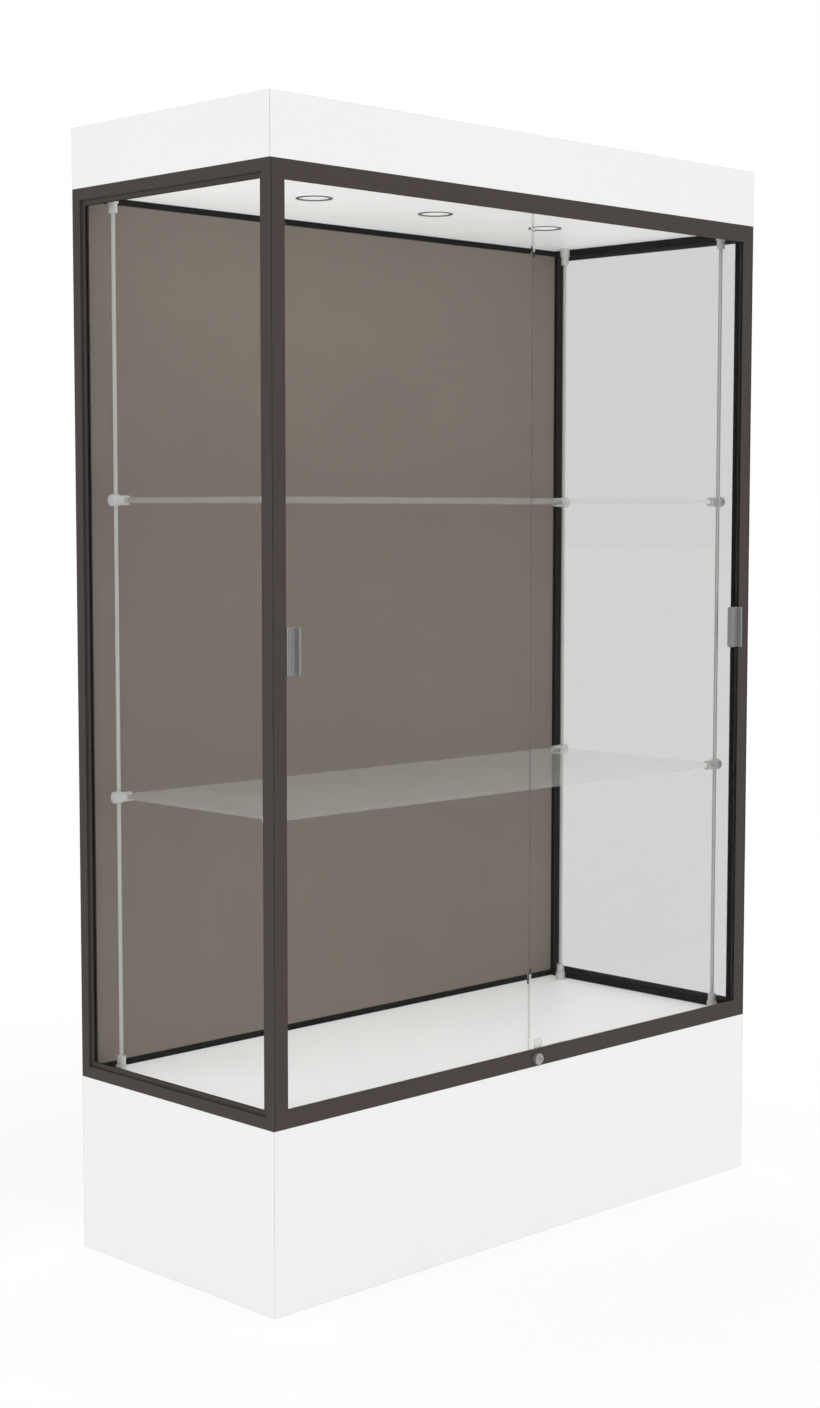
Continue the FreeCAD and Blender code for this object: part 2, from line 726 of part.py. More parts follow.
# Shelves: a glass plate held at its corners by clamps that slide on the rods. A clamp's jaw is open
# towards the middle of the shelf and closed round the corner of the glass.
clamp_section = [
    ("0", "-clamp_tail"),
    ("clamp_radius - clamp_chamfer", "-clamp_tail"),
    ("clamp_radius", "clamp_chamfer - clamp_tail"),
    ("clamp_radius", "clamp_front - clamp_chamfer / 2"),
    ("clamp_radius - clamp_chamfer / 2", "clamp_front"),
    ("nose_radius", "clamp_front"),
    ("nose_radius", "nose_end - nose_chamfer"),
    ("nose_radius - nose_chamfer", "nose_end"),
    ("0", "nose_end"),
]
for shelf in ("upper", "lower"):
    middle = f"shelf_{shelf}_height"
    plate = box(
        f"shelf_{shelf}_plate",
        *corners(
            (f"shelf_inset - {ROD_SIDE}", f"{ROD_SIDE} - shelf_inset"),
            (f"{ROD_FRONT} - shelf_overhang", f"{ROD_BACK} + shelf_overhang"),
            (f"{middle} - shelf_thickness / 2", f"{middle} + shelf_thickness / 2"),
        ),
    )
    piece(plate, f"shelf_{shelf}_glass")
    clamps = []
    for corner, (x, y, inwards) in rod_places.items():
        name = f"{shelf}_{corner}"
        blank = turned(f"clamp_{name}", clamp_section, (x, y, middle), Y_AXIS, 90 * inwards)
        rod_hole = cylinder(
            f"rod_hole_{name}",
            (x, y, f"{middle} - 2 * clamp_radius"),
            "rod_radius + slide_gap",
            "4 * clamp_radius",
        )
        if y == ROD_FRONT:
            jaw_y = (f"{y} - shelf_overhang - jaw_gap", f"{y} + 2 * clamp_radius")
        else:
            jaw_y = (f"{y} - 2 * clamp_radius", f"{y} + shelf_overhang + jaw_gap")
        jaw = box(
            f"jaw_{name}",
            *corners(
                span(x, inwards, "jaw_start", "nose_end + jaw_start"),
                jaw_y,
                (f"{middle} - shelf_thickness / 2 - jaw_gap", f"{middle} + shelf_thickness / 2 + jaw_gap"),
            ),
        )
        clamps.append(cut(f"clamp_cut_{name}", blank, rod_hole, jaw))
    piece(together(f"shelf_{shelf}_clamps", clamps), f"shelf_{shelf}_clamps")


def pull(name, x_low, glass_front):
    """A channel with two finger flanges and four ridges between them, on the front of a door."""
    x_high = f"{x_low} + pull_width"
    height = (f"{PULL_HEIGHT} - pull_height / 2", f"{PULL_HEIGHT} + pull_height / 2")
    web = box(f"{name}_web", *corners((x_low, x_high), (f"{glass_front} - pull_web", glass_front), height))
    depth = (f"{glass_front} - pull_depth", glass_front)
    near_flange = box(f"{name}_near", *corners((x_low, f"{x_low} + pull_flange"), depth, height))
    far_flange = box(f"{name}_far", *corners((f"{x_high} - pull_flange", x_high), depth, height))
    ridges = []
    for number in range(1, 5):
        middle = f"{x_low} + pull_width * {number} / 5"
        ridges.append(
            box(
                f"{name}_ridge_{number}",
                *corners(
                    (f"{middle} - pull_ridge / 2", f"{middle} + pull_ridge / 2"),
                    (f"{glass_front} - pull_web - pull_ridge", glass_front),
                    height,
                ),
            )
        )
    return fuse(name, web, near_flange, far_flange, *ridges)


def door(side, glass_x, glass_front, rib_top, pull_x):
    """A pane on two grooved glides, with its pull."""
    glass_bottom = f"({rib_top} + glide_gap + glide_roof)"
    glass_y = (glass_front, f"{glass_front} + pane")
    piece(box(f"door_{side}_pane", *corners(glass_x, glass_y, (glass_bottom, DOOR_TOP))), f"door_{side}_glass")
    glides = []
    for number, start in enumerate(
        (f"{glass_x[0]} + glide_inset", f"{glass_x[1]} - glide_inset - glide_length"), start=1
    ):
        run = (start, f"{start} + glide_length")
        solid = box(f"{side}_glide_{number}", *corners(run, glass_y, (f"{rib_top} - rib_height / 2", glass_bottom)))
        groove_y = (
            f"{glass_front} + pane / 2 - rib_width / 2 - glide_side_gap",
            f"{glass_front} + pane / 2 + rib_width / 2 + glide_side_gap",
        )
        groove = box(
            f"{side}_groove_{number}",
            *corners(run, groove_y, (f"{rib_top} - rib_height", f"{rib_top} + glide_gap")),
        )
        glides.append(cut(f"{side}_grooved_{number}", solid, groove))
    piece(together(f"door_{side}_glides", glides), f"door_{side}_glides")
    piece(pull(f"door_{side}_pull", pull_x, glass_front), f"door_{side}_pull")


# Doors: the left one slides behind the right one
door(
    "left",
    (f"closing_gap - {POST_INSIDE}", "door_overlap / 2"),
    INNER_DOOR,
    INNER_RIB_TOP,
    f"(closing_gap + pull_inset - {POST_INSIDE})",
)
door(
    "right",
    ("-door_overlap / 2", f"{POST_INSIDE} - closing_gap"),
    OUTER_DOOR,
    OUTER_RIB_TOP,
    f"({POST_INSIDE} - closing_gap - pull_inset - pull_width)",
)

# A strike on the right door hangs behind the lock. The locked pin stands between it and the left door.
strike_x = (
    "lock_offset + pin_radius + strike_gap",
    "lock_offset + pin_radius + strike_gap + strike_width",
)
glass_back = f"({OUTER_DOOR} + pane)"
pad_bottom = f"({FRAME_BASE} + rail_face)"
strike_pad = box(
    "strike_pad_block",
    *corners(strike_x, (glass_back, f"{glass_back} + strike_spacer"), (pad_bottom, f"{pad_bottom} + strike_pad")),
)
strike_plate = box(
    "strike_plate",
    *corners(
        strike_x,
        (f"{glass_back} + strike_spacer", f"{glass_back} + strike_spacer + strike_wall"),
        (f"{LOCK_HEIGHT} - 2 * pin_radius", f"{pad_bottom} + strike_pad"),
    ),
)
piece(fuse("strike", strike_pad, strike_plate), "door_right_strike")

# Plunger lock: a sleeve behind the rail's face, a plunger that is pushed in, and its key plug.
# Heights in these sections run forwards from the case's front.
sleeve = turned(
    "sleeve",
    [
        ("plunger_radius + running_gap", "-wall"),
        (SLEEVE_RADIUS, "-wall"),
        (SLEEVE_RADIUS, "-sleeve_end"),
        ("pin_radius + running_gap", "-sleeve_end"),
        ("pin_radius + running_gap", "sleeve_wall - sleeve_end"),
        ("plunger_radius + running_gap", "sleeve_wall - sleeve_end"),
    ],
    ("lock_offset", FRONT, LOCK_HEIGHT),
    X_AXIS,
    90,
)
piece(sleeve, "lock_sleeve")
plunger = turned(
    "plunger",
    [
        ("0", "-pin_end"),
        ("pin_radius", "-pin_end"),
        ("pin_radius", "-plunger_inside"),
        ("plunger_radius", "-plunger_inside"),
        ("plunger_radius", "plunger_proud - plunger_chamfer"),
        ("plunger_radius - plunger_chamfer", "plunger_proud"),
        ("plug_radius + running_gap", "plunger_proud"),
        ("plug_radius + running_gap", "plunger_proud - plug_depth"),
        ("0", "plunger_proud - plug_depth"),
    ],
    ("lock_offset", FRONT, LOCK_HEIGHT),
    X_AXIS,
    90,
)
piece(plunger, "lock_plunger")
plug = cylinder(
    "plug", ("lock_offset", f"{FRONT} - plunger_proud + plug_depth", LOCK_HEIGHT), "plug_radius", "plug_depth", X_AXIS, 90
)
keyway = box(
    "keyway",
    *corners(
        ("lock_offset - keyway_width / 2", "lock_offset + keyway_width / 2"),
        (f"{FRONT} - plunger_proud", f"{FRONT} - plunger_proud + keyway_depth"),
        (f"{LOCK_HEIGHT} - keyway_height / 2", f"{LOCK_HEIGHT} + keyway_height / 2"),
    ),
)
piece(cut("lock_plug", plug, keyway), "lock_key_plug")

doc.recompute()

failed = [item.Name for item in doc.Objects if "Invalid" in item.State or "Error" in item.State]
failed += [item.Label for item in subparts if item.Shape.isNull() or not item.Shape.isValid()]
if failed:
    raise RuntimeError(f"these objects failed: {failed}")

os.makedirs("parts", exist_ok=True)
for item in subparts:
    item.Shape.exportStep(f"parts/{item.Label}.step")
    print(item.Label, len(item.Shape.Solids), "solids", round(item.Shape.Volume / 1000, 1), "cm3")
print(len(subparts), "sub-parts")
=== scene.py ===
# %% [markdown]
# # A lighted display case
# The case is a white base, a dark bronze aluminium frame glazed on both sides, a closed back, two
# sliding glass doors, two glass shelves clamped to four rods, and a white header with three
# downlights. The engineering model is already right in size, so it is loaded as a fixed frame and
# everything here is added to it: light, finishes, and the small parts that a shop drawing leaves out.

# %% Load the frame
import math

import bmesh
import bpy
from mathutils import Euler, Matrix, Vector


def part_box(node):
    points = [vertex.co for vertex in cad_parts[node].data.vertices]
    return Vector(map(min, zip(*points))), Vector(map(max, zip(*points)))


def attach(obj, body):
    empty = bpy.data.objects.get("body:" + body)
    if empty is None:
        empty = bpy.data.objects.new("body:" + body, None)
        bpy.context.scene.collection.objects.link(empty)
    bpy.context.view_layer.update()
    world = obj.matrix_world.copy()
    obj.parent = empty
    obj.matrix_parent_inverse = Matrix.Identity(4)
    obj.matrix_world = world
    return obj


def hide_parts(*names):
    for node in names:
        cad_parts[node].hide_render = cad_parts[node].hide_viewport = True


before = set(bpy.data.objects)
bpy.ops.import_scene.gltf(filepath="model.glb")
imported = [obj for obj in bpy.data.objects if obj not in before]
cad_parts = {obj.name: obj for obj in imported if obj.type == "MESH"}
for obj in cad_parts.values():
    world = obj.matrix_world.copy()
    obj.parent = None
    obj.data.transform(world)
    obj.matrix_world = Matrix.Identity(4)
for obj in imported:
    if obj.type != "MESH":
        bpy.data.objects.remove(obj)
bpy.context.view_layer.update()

scene = bpy.context.scene

# %% [markdown]
# ## Where we stand
# Someone looks at the case from its left front corner, about four metres away and with their eyes
# 1.29 m above the floor. A long lens from further back would flatten the perspective, and a wide one
# would make the near corner bulge, so the lens is a little longer than normal. The picture is upright,
# so the sensor's 36 mm lie along its height.

# %% Camera
eye = Vector((-2.92905, -2.91971, 1.28703))
turn, tilt, roll = math.radians(-44.52), math.radians(90 - 4.854), math.radians(0.04)
lens = bpy.data.cameras.new("eye")
lens.sensor_fit = "VERTICAL"
lens.sensor_height = 36
lens.lens = 57.94
lens.clip_end = 200
camera = bpy.data.objects.new("eye", lens)
aim = Euler((tilt, 0, turn)).to_matrix() @ Matrix.Rotation(roll, 3, "Z")
camera.matrix_world = Matrix.Translation(eye) @ aim.to_4x4()
scene.collection.objects.link(camera)
scene.camera = camera
print("camera stands", round(eye.length, 2), "m from the origin")

# %% [markdown]
# ## Light
# A white cyclorama lights a case evenly from all round, which is how glass and white board are
# shown without hard shadows. Here the sky is that cyclorama. Mirror-like surfaces see it at half
# strength, as if black flags stood out of view, so that the glass shows what is behind it. The floor
# is a pale sheet that fades into the sky.

# %% Sky and floor
scene.view_settings.view_transform = "Standard"
sky = bpy.data.worlds.new("cyclorama")
scene.world = sky
sky.use_nodes = True
sky_nodes = sky.node_tree
background = sky_nodes.nodes["Background"]
path = sky_nodes.nodes.new("ShaderNodeLightPath")
mirrored = sky_nodes.nodes.new("ShaderNodeMath")
mirrored.operation = "MULTIPLY"
flag = sky_nodes.nodes.new("ShaderNodeMath")
flag.operation = "MULTIPLY_ADD"
mirror_dimming = 0.5
flag.inputs[1].default_value = -mirror_dimming
flag.inputs[2].default_value = 1.0
sky_nodes.links.new(path.outputs["Is Glossy Ray"], mirrored.inputs[0])
sky_nodes.links.new(path.outputs["Is Reflection Ray"], mirrored.inputs[1])
sky_nodes.links.new(mirrored.outputs[0], flag.inputs[0])
sky_nodes.links.new(flag.outputs[0], background.inputs["Strength"])
background.inputs["Color"].default_value = (1, 1, 1, 1)

sheet = bpy.data.meshes.new("studio_floor")
reach = 60.0
under_the_feet = 0.0004
corners = [(-reach, -reach, 0), (reach, -reach, 0), (reach, reach, 0), (-reach, reach, 0)]
sheet.from_pydata(corners, [], [(0, 1, 2, 3)])
floor = bpy.data.objects.new("studio_floor", sheet)
scene.collection.objects.link(floor)
floor.location.z = -under_the_feet
floor.visible_glossy = False
pale = bpy.data.materials.new("pale_floor")
pale.use_nodes = True
shader = pale.node_tree.nodes["Principled BSDF"]
shader.inputs["Base Color"].default_value = (0.5, 0.5, 0.5, 1)
shader.inputs["Roughness"].default_value = 0.9
shader.inputs["Specular IOR Level"].default_value = 0.0
shader.inputs["Emission Color"].default_value = (1, 1, 1, 1)
shader.inputs["Emission Strength"].default_value = 0.52
sheet.materials.append(pale)

# %% [markdown]
# Inside the case the ceiling shades the floor, so it has light of its own: three small lamps in the
# downlights, and two wide soft ones, under the ceiling and over the floor, for the light that real
# lamps send round a white interior. The wide ones are linked to the two white boards alone, which
# keeps the back panel from washing out. No lamp shows itself; only what it lights does.

# %% Lights in the case
deck_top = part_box("floor_deck")[1].z
ceiling_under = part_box("ceiling_panel")[0].z


def lamp(name, place, size, watts, upwards=False, depth=None):
    """A soft lamp that shines down, or up, and isn't seen itself."""
    data = bpy.data.lights.new(name, "AREA")
    data.shape = "RECTANGLE" if depth else "DISK"
    data.size = size
    if depth:
        data.size_y = depth
    data.energy = watts
    made = bpy.data.objects.new(name, data)
    made.location = place
    made.rotation_euler = (math.pi if upwards else 0, 0, 0)
    made.visible_camera = made.visible_glossy = made.visible_transmission = False
    scene.collection.objects.link(made)
    return made


glow_down = lamp("glow_down", (-0.16, 0, ceiling_under - 0.05), 1.0, 14.0, depth=0.42)
glow_up = lamp("glow_up", (-0.4, 0, deck_top + 0.05), 0.8, 16.0, upwards=True, depth=0.42)
for glow, node in ((glow_down, "floor_deck"), (glow_up, "ceiling_panel")):
    lit = bpy.data.collections.new(f"lit_by_{glow.name}")
    lit.objects.link(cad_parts[node])
    glow.light_linking.receiver_collection = lit
light_gap = 0.293
light_line = -0.005
light_height = ceiling_under - 0.004
light_width, light_watts = 0.05, 0.12
for number in (-1, 0, 1):
    lamp(f"downlight_{number + 2}", (number * light_gap, light_line, light_height), light_width, light_watts)

# %% [markdown]
# ## Helpers for materials
# A material is a small network of nodes. Small helpers keep it readable: they set or join a socket,
# add a node, do arithmetic, mix two colours, and make and place the groups that finishes share.


# %% Node helpers
def feed(tree, socket, value):
    """Joins a socket to another one, or sets it to a value."""
    if isinstance(value, bpy.types.NodeSocket):
        tree.links.new(value, socket)
    else:
        socket.default_value = value


def add(tree, kind, inputs=None, **settings):
    """A node of a kind, with its settings and inputs."""
    made = tree.nodes.new(kind)
    for name, value in settings.items():
        setattr(made, name, value)
    for key, value in (inputs or {}).items():
        feed(tree, made.inputs[key], value)
    return made


def calc(tree, operation, *values, clamp=False):
    """One step of arithmetic, as a socket."""
    made = add(tree, "ShaderNodeMath", dict(enumerate(values)), operation=operation, use_clamp=clamp)
    return made.outputs[0]


def mixed(tree, amount, first, second, how="MIX"):
    """Two colours mixed by an amount, as a socket."""
    made = add(tree, "ShaderNodeMix", {0: amount, 6: first, 7: second}, data_type="RGBA", blend_type=how)
    return made.outputs[2]


def effect(name, takes, gives):
    """A node group with named inputs and outputs: its tree, its input sockets and its output sockets."""
    tree = bpy.data.node_groups.new(name, "ShaderNodeTree")
    for label, (kind, value) in takes.items():
        socket = tree.interface.new_socket(label, in_out="INPUT", socket_type=f"NodeSocket{kind}")
        socket.default_value = value
    for label, kind in gives.items():
        tree.interface.new_socket(label, in_out="OUTPUT", socket_type=f"NodeSocket{kind}")
    return tree, tree.nodes.new("NodeGroupInput").outputs, tree.nodes.new("NodeGroupOutput").inputs


def use(tree, group, **inputs):
    """A group placed in a material. An underscore in a name stands for a space."""
    made = tree.nodes.new("ShaderNodeGroup")
    made.node_tree = group
    for key, value in inputs.items():
        feed(tree, made.inputs[key.replace("_", " ")], value)
    return made.outputs


# %% [markdown]
# ## Effects that several finishes share
# **Soft edge** finds the sharp edges of a shape. A real edge is never quite sharp: it catches light
# on a tiny radius, and it wears first. The Bevel node looks round the edge, so where its normal
# leaves the face's own normal there is an edge.

# %% Soft edge
soft_edge, given, out = effect(
    "soft edge", {"Width": ("Float", 0.001), "Amount": ("Float", 2.0)}, {"Mask": "Float", "Normal": "Vector"}
)
rounded = add(soft_edge, "ShaderNodeBevel", {"Radius": given["Width"]}, samples=4)
face = add(soft_edge, "ShaderNodeNewGeometry")
both = {0: rounded.outputs[0], 1: face.outputs["Normal"]}
agree = add(soft_edge, "ShaderNodeVectorMath", both, operation="DOT_PRODUCT")
turned_away = calc(soft_edge, "SUBTRACT", 1.0, agree.outputs["Value"])
soft_edge.links.new(calc(soft_edge, "MULTIPLY", turned_away, given["Amount"], clamp=True), out["Mask"])
soft_edge.links.new(rounded.outputs[0], out["Normal"])

# %% [markdown]
# **Cloud** is slow, soft variation, as in any sheet of board, metal or cloth. **Streaks** are the
# same noise stretched along one direction, which is what brushing, drawing and extruding leave.
# **Grit** is fine and even, for the feel of moulded plastic or laminate. **Dust** lies only on what
# faces up, and in patches.

# %% Cloud, streaks, grit and dust
cloud, given, out = effect(
    "cloud", {"Scale": ("Float", 4.0), "Seed": ("Float", 0.0)}, {"Mask": "Float"}
)
place = add(cloud, "ShaderNodeTexCoord").outputs["Object"]
shifted = add(cloud, "ShaderNodeVectorMath", {0: place, 1: given["Seed"]}, operation="ADD").outputs[0]
wisps = add(cloud, "ShaderNodeTexNoise", {"Vector": shifted, "Scale": given["Scale"], "Detail": 3.0})
cloud.links.new(wisps.outputs["Fac"], out["Mask"])

streaks, given, out = effect("streaks", {"Stretch": ("Vector", (900.0, 900.0, 8.0))}, {"Mask": "Float"})
place = add(streaks, "ShaderNodeTexCoord").outputs["Object"]
pulled = add(streaks, "ShaderNodeVectorMath", {0: place, 1: given["Stretch"]}, operation="MULTIPLY")
drawn_noise = {"Vector": pulled.outputs[0], "Scale": 1.0, "Detail": 2.0, "Roughness": 0.6}
lines = add(streaks, "ShaderNodeTexNoise", drawn_noise)
streaks.links.new(lines.outputs["Fac"], out["Mask"])

grit, given, out = effect("grit", {"Scale": ("Float", 900.0)}, {"Height": "Float"})
place = add(grit, "ShaderNodeTexCoord").outputs["Object"]
grains = add(grit, "ShaderNodeTexNoise", {"Vector": place, "Scale": given["Scale"], "Detail": 1.0})
grit.links.new(grains.outputs["Fac"], out["Height"])

dust, given, out = effect("dust", {"Amount": ("Float", 0.2), "Scale": ("Float", 30.0)}, {"Mask": "Float"})
normal = add(dust, "ShaderNodeNewGeometry").outputs["Normal"]
upward = add(dust, "ShaderNodeSeparateXYZ", {0: normal}).outputs["Z"]
place = add(dust, "ShaderNodeTexCoord").outputs["Object"]
specks = add(dust, "ShaderNodeTexNoise", {"Vector": place, "Scale": given["Scale"], "Detail": 4.0})
lying = calc(dust, "MULTIPLY", calc(dust, "MAXIMUM", upward, 0.0), specks.outputs["Fac"])
dust.links.new(calc(dust, "MULTIPLY", lying, given["Amount"], clamp=True), out["Mask"])


# %% [markdown]
# Every finish starts as a Principled shader with its plain values. What varies over the surface is
# joined to it afterwards. Bumps are given as a real height, in metres.


# %% Starting a finish
def finish(name, colour, roughness, metallic=0.0, **plain):
    """A material, its node tree and its Principled shader."""
    material = bpy.data.materials.new(name)
    material.use_nodes = True
    tree = material.node_tree
    shader = tree.nodes["Principled BSDF"]
    shader.inputs["Base Color"].default_value = (*colour, 1)
    shader.inputs["Roughness"].default_value = roughness
    shader.inputs["Metallic"].default_value = metallic
    for key, value in plain.items():
        shader.inputs[key.replace("_", " ")].default_value = value
    return material, tree, shader


def varied(tree, shader, mask, first, second):
    """Paints a shader with two colours mixed by a mask."""
    colour = mixed(tree, mask, (*first, 1), (*second, 1))
    tree.links.new(colour, shader.inputs["Base Color"])
    return colour


def rough_between(tree, shader, mask, low, high):
    """Roughness that follows a mask from a low value to a high one."""
    tree.links.new(calc(tree, "MULTIPLY_ADD", mask, high - low, low), shader.inputs["Roughness"])


def raised(tree, shader, height, metres, normal=None):
    """A bump of a real height, on a normal that may already be rounded."""
    inputs = {"Height": height, "Distance": metres, "Strength": 1.0}
    if normal is not None:
        inputs["Normal"] = normal
    tree.links.new(add(tree, "ShaderNodeBump", inputs).outputs[0], shader.inputs["Normal"])


def wears(material, *nodes):
    """Gives a finish to parts of the frame."""
    for node in nodes:
        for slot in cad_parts[node].material_slots:
            slot.material = material
    print(material.name, "on", len(nodes), "parts")


# %% [markdown]
# ## White board
# Header and base are board covered in a matt white laminate. It is almost even: a faint cloudiness,
# a fine pebble that spreads the light, and edges a shade greyer where the band meets the face.

# %% White laminate
white_laminate, tree, shader = finish("white_laminate", (0.85, 0.85, 0.85), 0.5, Specular_IOR_Level=0.3)
edge = use(tree, soft_edge, Width=0.0012, Amount=3.0)
base = varied(tree, shader, use(tree, cloud, Scale=2.5)["Mask"], (0.882, 0.882, 0.882), (0.9, 0.9, 0.897))
worn = mixed(tree, calc(tree, "MULTIPLY", edge["Mask"], 0.2), base, (0.78, 0.78, 0.77, 1))
tree.links.new(worn, shader.inputs["Base Color"])
rough_between(tree, shader, use(tree, cloud, Scale=40.0, Seed=3.0)["Mask"], 0.42, 0.58)
raised(tree, shader, use(tree, grit, Scale=1400.0)["Height"], 0.00001, edge["Normal"])
sides = [f"{board}_{side}" for board in ("base", "header") for side in ("front", "left", "right", "back")]
wears(white_laminate, *sides, "header_service_panel", "header_top")

# %% [markdown]
# The floor and the ceiling inside are the same board in a cleaner, slightly glossier white.

# %% White deck
white_deck, tree, shader = finish("white_deck", (0.9, 0.9, 0.9), 0.45, Specular_IOR_Level=0.3)
edge = use(tree, soft_edge, Width=0.0008, Amount=3.0)
patches = use(tree, cloud, Scale=5.0, Seed=1.0)["Mask"]
base = varied(tree, shader, patches, (0.9, 0.9, 0.902), (0.92, 0.92, 0.92))
dusty = mixed(tree, use(tree, dust, Amount=0.08, Scale=40.0)["Mask"], base, (0.72, 0.71, 0.69, 1))
tree.links.new(dusty, shader.inputs["Base Color"])
rough_between(tree, shader, use(tree, cloud, Scale=60.0, Seed=5.0)["Mask"], 0.38, 0.5)
raised(tree, shader, use(tree, grit, Scale=1600.0)["Height"], 0.000008, edge["Normal"])
wears(white_deck, "floor_deck", "ceiling_panel")

# %% [markdown]
# ## Bare board
# Where nobody looks the board stays bare: pressed chips in several tones of straw. Cells of a Voronoi pattern
# stand for the chips.

# %% Particle board
raw_board, tree, shader = finish("raw_board", (0.55, 0.43, 0.29), 0.85)
place = add(tree, "ShaderNodeTexCoord").outputs["Object"]
chips = add(tree, "ShaderNodeTexVoronoi", {"Vector": place, "Scale": 260.0, "Randomness": 1.0})
tone = add(tree, "ShaderNodeSeparateColor", {0: chips.outputs["Color"]}).outputs["Red"]
varied(tree, shader, tone, (0.44, 0.32, 0.2), (0.68, 0.56, 0.4))
rough_between(tree, shader, tone, 0.75, 0.95)
raised(tree, shader, chips.outputs["Distance"], 0.0002)
wears(raw_board, "base_top", "base_rib", "base_corner_blocks", "header_floor")

# %% [markdown]
# ## Bronze aluminium
# The frame is extruded aluminium, anodised dark bronze. Extruding leaves very fine lines along each bar, so
# upright posts are streaked along Z and rails along their own length. The inside of the frame, which faces
# the exhibits, is painted near-black, non-metallic and matt: painted shade for the shadow within the frame. A
# thin near-black line down each front corner is painted shade where a small groove would be. Both are found
# from the place on the case, not painted by hand.

# %% Bronze aluminium
frame_low, frame_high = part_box("post_front_left")[0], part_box("post_back_right")[1]
inner_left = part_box("left_top_rail")[1].x
inner_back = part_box("back_top_rail")[0].y


def bronze(name, stretch):
    """Dark bronze anodising on a bar that was drawn along one direction."""
    material, tree, shader = finish(name, (0.07, 0.058, 0.055), 0.42, 0.35, Specular_IOR_Level=0.15)
    place = add(tree, "ShaderNodeSeparateXYZ", {0: add(tree, "ShaderNodeTexCoord").outputs["Object"]}).outputs
    aside = calc(tree, "ABSOLUTE", place["X"])
    within = calc(tree, "LESS_THAN", aside, -inner_left + 0.0005)
    behind = calc(tree, "GREATER_THAN", place["Y"], frame_low.y + 0.001)
    before = calc(tree, "LESS_THAN", place["Y"], inner_back + 0.0005)
    # The inside faces of the frame get painted shade: near-black, not metallic, and matt.
    shaded_inside = calc(tree, "MULTIPLY", within, calc(tree, "MULTIPLY", behind, before))
    # A thin near-black line down each front corner is painted shade where a small groove would be.
    line = calc(tree, "COMPARE", aside, -frame_low.x - 0.0026, 0.0005)
    front = calc(tree, "LESS_THAN", place["Y"], frame_low.y + 0.0002)
    groove_shade = calc(tree, "MULTIPLY", line, front)
    edge = use(tree, soft_edge, Width=0.0007, Amount=2.5)
    drawn = use(tree, streaks, Stretch=stretch)["Mask"]
    colour = varied(tree, shader, drawn, (0.075, 0.061, 0.057), (0.09, 0.074, 0.069))
    patches = calc(tree, "MULTIPLY", use(tree, cloud, Scale=6.0)["Mask"], 0.3)
    colour = mixed(tree, patches, colour, (0.066, 0.055, 0.053, 1))
    colour = mixed(tree, calc(tree, "MULTIPLY", edge["Mask"], 0.5), colour, (0.17, 0.15, 0.14, 1))
    # Painted shade: the corner line turns near-black.
    colour = mixed(tree, groove_shade, colour, (0.012, 0.011, 0.01, 1))
    # Painted shade: the inside faces of the frame turn near-black.
    colour = mixed(tree, shaded_inside, colour, (0.005, 0.0045, 0.004, 1))
    tree.links.new(colour, shader.inputs["Base Color"])
    tree.links.new(calc(tree, "MULTIPLY_ADD", shaded_inside, -0.35, 0.35), shader.inputs["Metallic"])
    rough = calc(tree, "MULTIPLY_ADD", drawn, 0.14, 0.36)
    matt = calc(tree, "MULTIPLY", shaded_inside, 0.75)
    tree.links.new(calc(tree, "MAXIMUM", rough, matt), shader.inputs["Roughness"])
    raised(tree, shader, drawn, 0.00001, edge["Normal"])
    return material


bronze_upright = bronze("bronze_upright", (1500.0, 1500.0, 6.0))
bronze_across = bronze("bronze_across", (6.0, 1500.0, 1500.0))
bronze_deep = bronze("bronze_deep", (1500.0, 6.0, 1500.0))
wears(bronze_upright, "post_front_left", "post_front_right", "post_back_left", "post_back_right")
wears(bronze_across, "front_bottom_rail", "front_top_rail", "back_bottom_rail", "back_top_rail")
wears(bronze_deep, "left_bottom_rail", "left_top_rail", "right_bottom_rail", "right_top_rail")

# %% [markdown]
# ## Back panel
# The back is a taupe laminate with a linen emboss: two sets of fine ridges that cross, a little
# uneven, so the panel looks soft and never mirrors the lamps.

# %% Taupe panel
taupe_panel, tree, shader = finish("taupe_panel", (0.25, 0.215, 0.18), 0.7, Specular_IOR_Level=0.25)
place = add(tree, "ShaderNodeTexCoord").outputs["Object"]
ridges = {"Vector": place, "Scale": 260.0, "Distortion": 1.5, "Detail": 2.0}
warp = add(tree, "ShaderNodeTexWave", ridges, bands_direction="X")
weft = add(tree, "ShaderNodeTexWave", ridges, bands_direction="Z")
linen = calc(tree, "MULTIPLY", warp.outputs["Fac"], weft.outputs["Fac"])
tone = varied(tree, shader, use(tree, cloud, Scale=7.0)["Mask"], (0.217, 0.187, 0.157), (0.24, 0.206, 0.171))
shade = mixed(tree, calc(tree, "MULTIPLY", linen, 0.12), tone, (0.2, 0.172, 0.146, 1))
tree.links.new(shade, shader.inputs["Base Color"])
rough_between(tree, shader, linen, 0.62, 0.78)
raised(tree, shader, linen, 0.00006)
wears(taupe_panel, "back_panel")

# %% [markdown]
# ## Metals of the fittings
# Rods are drawn steel, clamps and rod ends satin aluminium, pulls a darker grey anodising, the lock
# is bright nickel and the downlight rims are painted. They share the streaks, each along its own
# direction of working, and all have soft edges.


# %% Fitting metals
def metal(name, low, high, roughness, metallic, stretch, edge_width=0.0004, lift=0.000008):
    """A worked metal, streaked one way between two tones."""
    material, tree, shader = finish(name, low, roughness, metallic)
    edge = use(tree, soft_edge, Width=edge_width, Amount=2.0)
    drawn = use(tree, streaks, Stretch=stretch)["Mask"]
    colour = varied(tree, shader, drawn, low, high)
    bright = tuple(min(1.0, part * 1.25) for part in high)
    rubbed = mixed(tree, calc(tree, "MULTIPLY", edge["Mask"], 0.6), colour, (*bright, 1))
    tree.links.new(rubbed, shader.inputs["Base Color"])
    rough_between(tree, shader, drawn, roughness - 0.06, roughness + 0.08)
    raised(tree, shader, drawn, lift, edge["Normal"])
    return material


